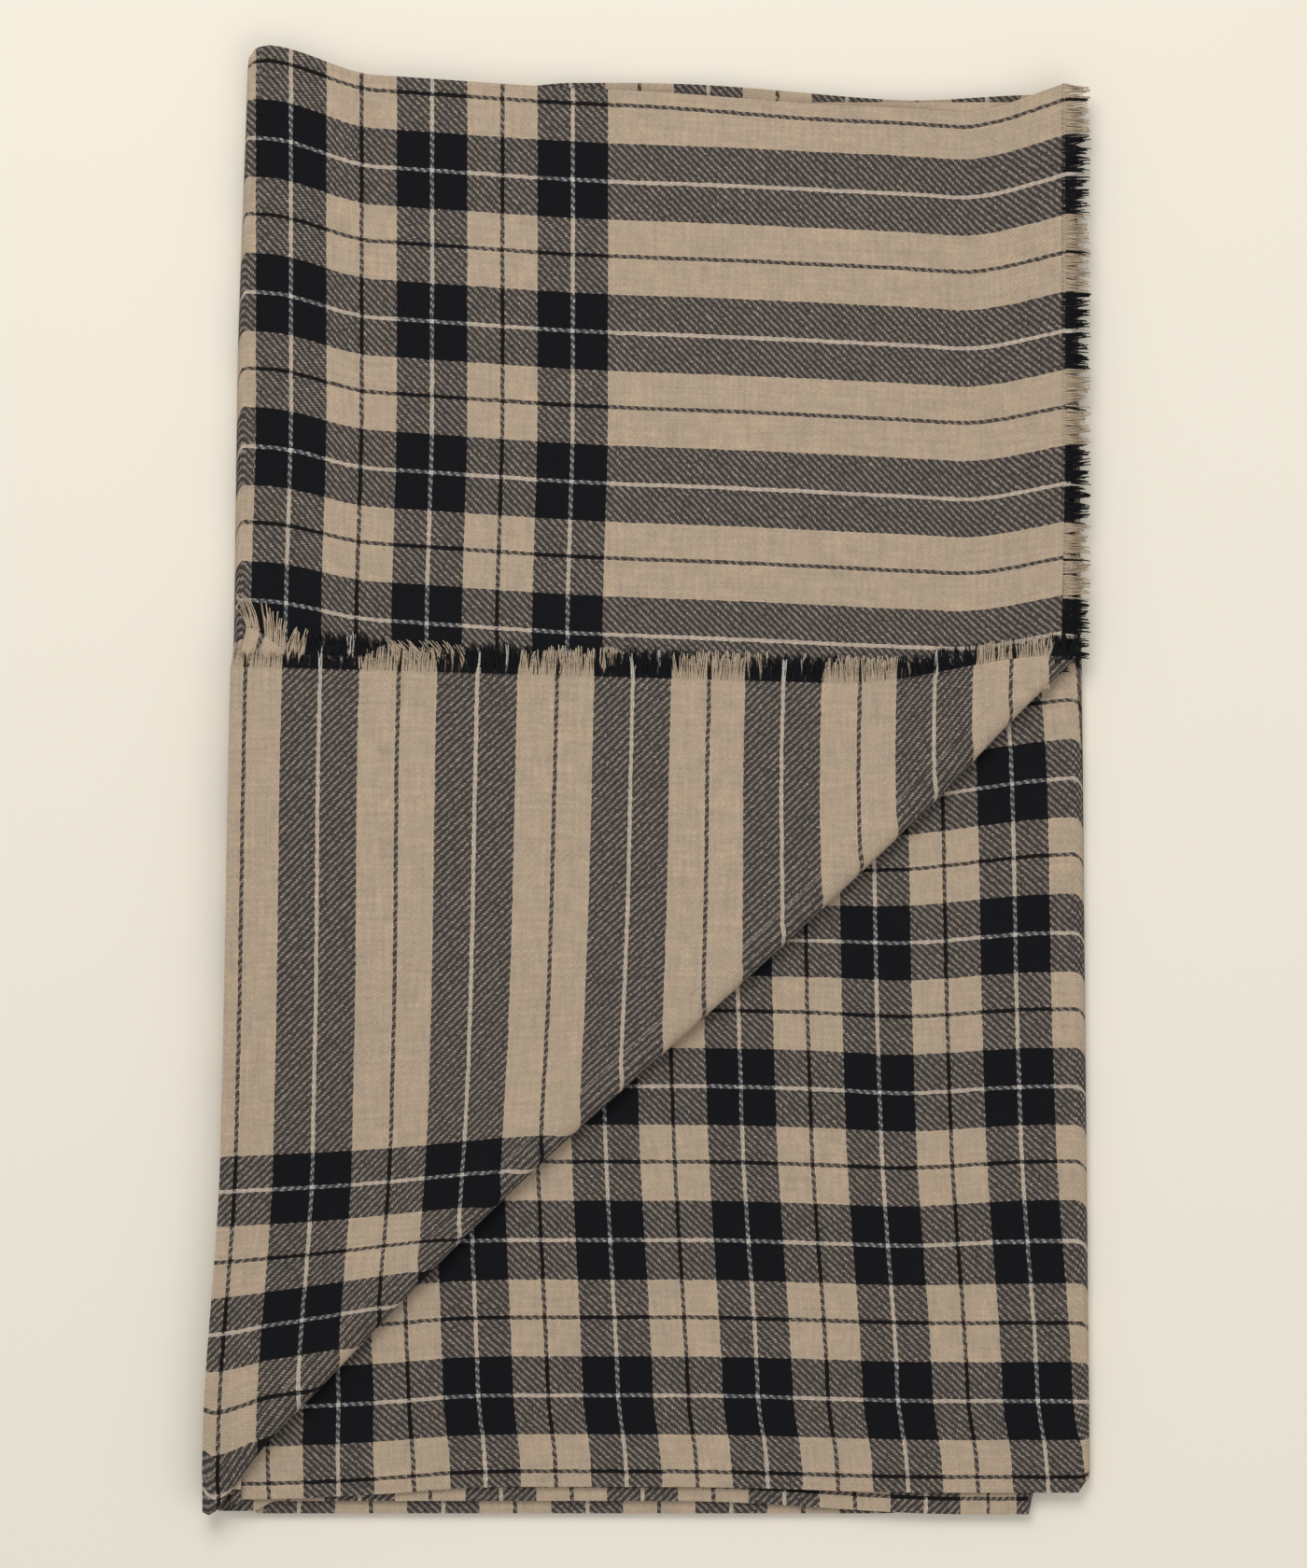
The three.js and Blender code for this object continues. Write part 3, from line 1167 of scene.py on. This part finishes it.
# roots: x, y, z arrays. out: x, y arrays. rest is the height that the tips sink to.
# longer and sweep add to the length and to how far the tips swing aside.
def fringePiece(name, node, body, roots, out, warp, rest, seed, longer=0, sweep=0):
    random = np.random.default_rng(seed)
    p = fringe
    count = len(warp) * p["strands"]
    corners = p["corners"]
    perYarn = (*roots, *out, rest, longer, sweep, warp)
    perStrand = [np.repeat(np.asarray(values) + 0 * warp, p["strands"]) for values in perYarn]
    x, y, z, outX, outY, rest, longer, sweep, warp = perStrand
    sideX, sideY = -outY, outX
    apart = random.uniform(-1, 1, count) * p["apart"]
    x = x + sideX * apart - outX * p["inset"]
    y = y + sideY * apart - outY * p["inset"]
    z = z + cloth["thickness"] / 2 - p["sunk"]
    clump = (np.arange(count) + random.integers(-1, 2, count)) // p["clump"]
    lateral = np.zeros(count)
    lean = random.normal(0, 1, clump.max() + 2) * p["lean"]
    for c in range(clump.min(), clump.max() + 1):
        members = np.flatnonzero(clump == c)
        if len(members):
            offX = x[members] - x[members].mean()
            offY = y[members] - y[members].mean()
            place = offX * sideX[members] + offY * sideY[members]
            place = np.clip(place, -p["clumpReach"], p["clumpReach"])
            lateral[members] = lean[c] - place * p["gather"]
    spread = 1 + p["lengthSpread"] * random.uniform(-1, 0.6, count)
    length = (p["length"] + p["inset"] + longer) * spread
    curl = random.normal(0, 1, count) * p["curl"]
    phase = random.uniform(0, 2 * math.pi, count)
    lift = random.uniform(0, 1, count) * p["lift"]
    vertices = []
    uv = []
    for t in np.linspace(0, 1, p["segments"] + 1):
        away = length * (t - p["droop"] * t * t)
        across = lateral * t ** 1.2 + (curl + sweep) * t * t + p["waver"] * np.sin(phase + 5 * t)
        px = x + outX * away + sideX * across
        py = y + outY * away + sideY * across
        pz = z + (rest + lift - z) * ease(0.1, 1, t) + p["waver"] * np.sin(phase * 2 + 6 * t) * t
        thinRoot = p["rootShare"] + (1 - p["rootShare"]) * ease(0, 0.16, t)
        radius = p["radius"] * thinRoot * (1 - p["taper"] * t ** 4)
        for corner in range(corners):
            turn = 2 * math.pi * corner / corners + p["twist"] * t
            offset = radius * math.cos(turn)
            height = pz + radius * math.sin(turn)
            vertices.append(np.stack([px + sideX * offset, py + sideY * offset, height], 1))
            uv.append(np.stack([np.zeros(count) + t, warp + 0.5], 1))
    vertices = np.stack(vertices, 1)
    uv = np.stack(uv, 1)
    faces = []
    for base in range(0, count * vertices.shape[1], vertices.shape[1]):
        for ring in range(p["segments"]):
            for corner in range(corners):
                a = base + ring * corners + corner
                b = base + ring * corners + (corner + 1) % corners
                faces.append((a, b, b + corners, a + corners))
        top = base + p["segments"] * corners
        faces.append((base + 2, base + 1, base))
        faces.append((top, top + 1, top + 2))
    mesh = bpy.data.meshes.new(name)
    mesh.from_pydata(vertices.reshape(-1, 3).tolist(), [], faces)
    mesh.uv_layers.new(name="UVMap")
    piece = bpy.data.objects.new(name, mesh)
    bpy.context.scene.collection.objects.link(piece)
    setYarnPlaces(piece, uv.reshape(-1, 2)[:, 0], uv.reshape(-1, 2)[:, 1])
    mesh.materials.append(looseYarn)
    activate(piece)
    bpy.ops.object.mode_set(mode="EDIT")
    bpy.ops.mesh.select_all(action="SELECT")
    bpy.ops.mesh.normals_make_consistent(inside=False)
    bpy.ops.object.mode_set(mode="OBJECT")
    bpy.ops.object.shade_smooth()
    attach(piece, body)
    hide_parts(node)
    return piece


print("Fringe")
warpNumbers = np.arange(cloth["warpCount"])
warpMiddle = (warpNumbers + 0.5) * cloth["warpPitch"]


def endOf(place, s):
    x, y, _ = place(np.zeros_like(warpMiddle) + s, warpMiddle)
    return x, y


# Which way the yarns point where they leave the flap's end
def strandDirections(warpPlaces):
    x, y, _ = placeFlap(np.zeros_like(warpPlaces), warpPlaces)
    aheadX, aheadY, _ = placeFlap(np.zeros_like(warpPlaces) - 0.02, warpPlaces)
    size = np.hypot(aheadX - x, aheadY - y)
    return (aheadX - x) / size, (aheadY - y) / size


# Where a strand comes to lie, on the top layer just outside the turned corner
def onTopLayer(x, y):
    return heightOf("top_panel", x, y + fringeRest["ahead"]) + cloth["thickness"] / 2 + fringe["radius"]


fringeRest = {
    "top": 2.2 * mm,  # how far the tips hang below their own layer
    "second": 0.6 * mm,
    "ahead": 8 * mm,
    "farLeft": (1, -150 * mm, -134 * mm),
    "farLeftLonger": 3 * mm,
    "sweep": (6 * mm, -88 * mm, 22 * mm),
    "farLeftSweep": 5 * mm,
    "sweepBack": (8 * mm, -158 * mm, -142 * mm),
    "rollOut": (0.25, 0.97),
    "flapGap": 0.4 * mm,
    "flapMost": 1 * mm,
}


fringes = {}


# The fringe on an end that lies flat, above the diagonal fold
def straightFringe(name, node, panel, x, y, fold, sink, seed):
    main = cornerSide(x, y) > cornerFold[fold]["cut"]
    straight = (np.ones(main.sum()), np.zeros(main.sum()))
    z = heightOf(panel, x, y)
    roots = (x[main], y[main], z[main])
    return fringePiece(name, node, "top_pair", roots, straight, warpNumbers[main], z[main] - sink, seed)


x, y = endOf(placeTop, 1)
fringes["topFringe"] = straightFringe(
    "topFringe", "top_panel_fringe", "top_panel", x, y, "inner", fringeRest["top"], 11)

turned = cornerSide(x, y) < -cornerFold["inner"]["cut"]
x, y = turnedOver(x[turned], y[turned])
axis = cornerHinge[1]
out = (np.zeros(turned.sum()) + 2 * axis[0] * axis[0] - 1, np.zeros(turned.sum()) + 2 * axis[0] * axis[1])
z = heightOf("corner_under_panel", x, y)
farLeft = goesOut(fringeRest["farLeft"], x)
sweep = swells(fringeRest["sweep"], x)
sweep = sweep + farLeft * (fringeRest["farLeftSweep"] - comesIn(fringeRest["sweepBack"], x))
fringes["cornerUnderFringe"] = fringePiece(
    "cornerUnderFringe", "corner_under_fringe", "turned_corner", (x, y, z), out,
    warpNumbers[turned], onTopLayer(x, y), 12, fringeRest["farLeftLonger"] * farLeft, sweep)

fringes["secondFringe"] = straightFringe(
    "secondFringe", "second_panel_fringe", "second_panel", *endOf(placeSecond, 1), "outer",
    fringeRest["second"], 13)

# The flap's fringe, with the yarns that come out of the end of its fold
x, y = endOf(placeFlap, 0)
main = cornerSide(x, y) > cornerFold["outer"]["cut"]
outX, outY = strandDirections(warpMiddle[main])
z = heightOf("corner_upper_panel", x, y)
rollX, rollY, rollZ, _, rollWarp = rolls["cornerOuterRoll"][2]
rollNumbers = np.arange(math.ceil(min(rollWarp)), math.floor(max(rollWarp)))
rollEnd = [np.interp(rollNumbers, rollWarp, values) for values in (rollX, rollY, rollZ)]
x, y, z = (np.concatenate([whole[main], end]) for whole, end in zip((x, y, z), rollEnd))
outX = np.concatenate([outX, np.zeros(len(rollNumbers)) + fringeRest["rollOut"][0]])
outY = np.concatenate([outY, np.zeros(len(rollNumbers)) + fringeRest["rollOut"][1]])
rest = np.minimum(onTopLayer(x, y) + fringeRest["flapGap"], z + fringeRest["flapMost"])
fringes["cornerUpperFringe"] = fringePiece(
    "cornerUpperFringe", "corner_upper_fringe", "turned_corner", (x, y, z), (outX, outY),
    np.concatenate([warpNumbers[main], rollNumbers]), rest, 14)

for name, (low, high, levels) in {
    "rightOuterRoll": ("bottom_pair", "middle_pair", ("bottom_panel", "third_panel")),
    "rightInnerRoll": ("bottom_pair", "middle_pair", ("fifth_panel", "fourth_panel")),
    "leftInnerRoll": ("middle_pair", "top_pair", ("third_panel", "second_panel")),
    "leftOuterRoll": ("middle_pair", "top_pair", ("fourth_panel", "top_panel")),
    "cornerOuterRoll": ("top_pair", "turned_corner", ("second_panel", "corner_upper_panel")),
    "cornerInnerRoll": ("top_pair", "turned_corner", ("top_panel", "corner_under_panel")),
}.items():
    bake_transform(rolls[name][0])
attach(rolls["midLengthRoll"][0], "bottom_pair")

fringeOn = {
    "topCloth": "topFringe", "secondCloth": "secondFringe",
    "cornerUnderCloth": "cornerUnderFringe", "cornerUpperCloth": "cornerUpperFringe",
}
for name, (piece, flat, area) in sheets.items():
    withPieces = [fringes[fringeOn[name]]] if name in fringeOn else []

print("Stage, lights and camera")
studio = {
    "world": {"colour": (1, 0.985, 0.96), "strength": 0.53},
    "floor": {"colour": (0.84, 0.795, 0.70), "roughness": 0.9, "size": 6},
}
lights = {
    "key": {"at": (-0.3, 1.1, 1.6), "size": 1.2, "power": 19.2, "colour": (1, 0.985, 0.96)},
    "fill": {"at": (0.9, -0.8, 1.8), "size": 1.8, "power": 7.5, "colour": (1, 0.99, 0.97)},
}
deselectAll()
bpy.ops.mesh.primitive_plane_add(size=studio["floor"]["size"], location=(0, 0, 0))
floor = bpy.context.object
floor.name = "floor"
floorShader = Shader("paleFloor")
floorShader.feed(floorShader.principled, {
    "Base Color": studio["floor"]["colour"],
    "Roughness": studio["floor"]["roughness"],
})
floor.data.materials.append(floorShader.material)

world = bpy.data.worlds.new("studio")
bpy.context.scene.world = world
world.use_nodes = True
background = world.node_tree.nodes["Background"]
background.inputs["Color"].default_value = (*studio["world"]["colour"], 1)
background.inputs["Strength"].default_value = studio["world"]["strength"]

for name, light in lights.items():
    deselectAll()
    bpy.ops.object.light_add(type="AREA", location=light["at"])
    lamp = bpy.context.object
    lamp.name = name
    lamp.data.shape = "DISK"
    lamp.data.size = light["size"]
    lamp.data.energy = light["power"]
    lamp.data.color = light["colour"]
    lamp.rotation_euler = (-Vector(light["at"])).to_track_quat("-Z", "Y").to_euler()

cameraPlace = {"height": 2.4, "x": 2.4 * mm, "y": -1.9 * mm, "view": 625 * mm, "sensor": 36}
deselectAll()
bpy.ops.object.camera_add(location=(cameraPlace["x"], cameraPlace["y"], cameraPlace["height"]))
camera = bpy.context.object
camera.data.sensor_width = cameraPlace["sensor"]
distance = cameraPlace["height"] - levelOf("top_panel")
camera.data.lens = cameraPlace["sensor"] * distance / cameraPlace["view"]
bpy.context.scene.camera = camera
bpy.context.scene.view_settings.view_transform = "Standard"
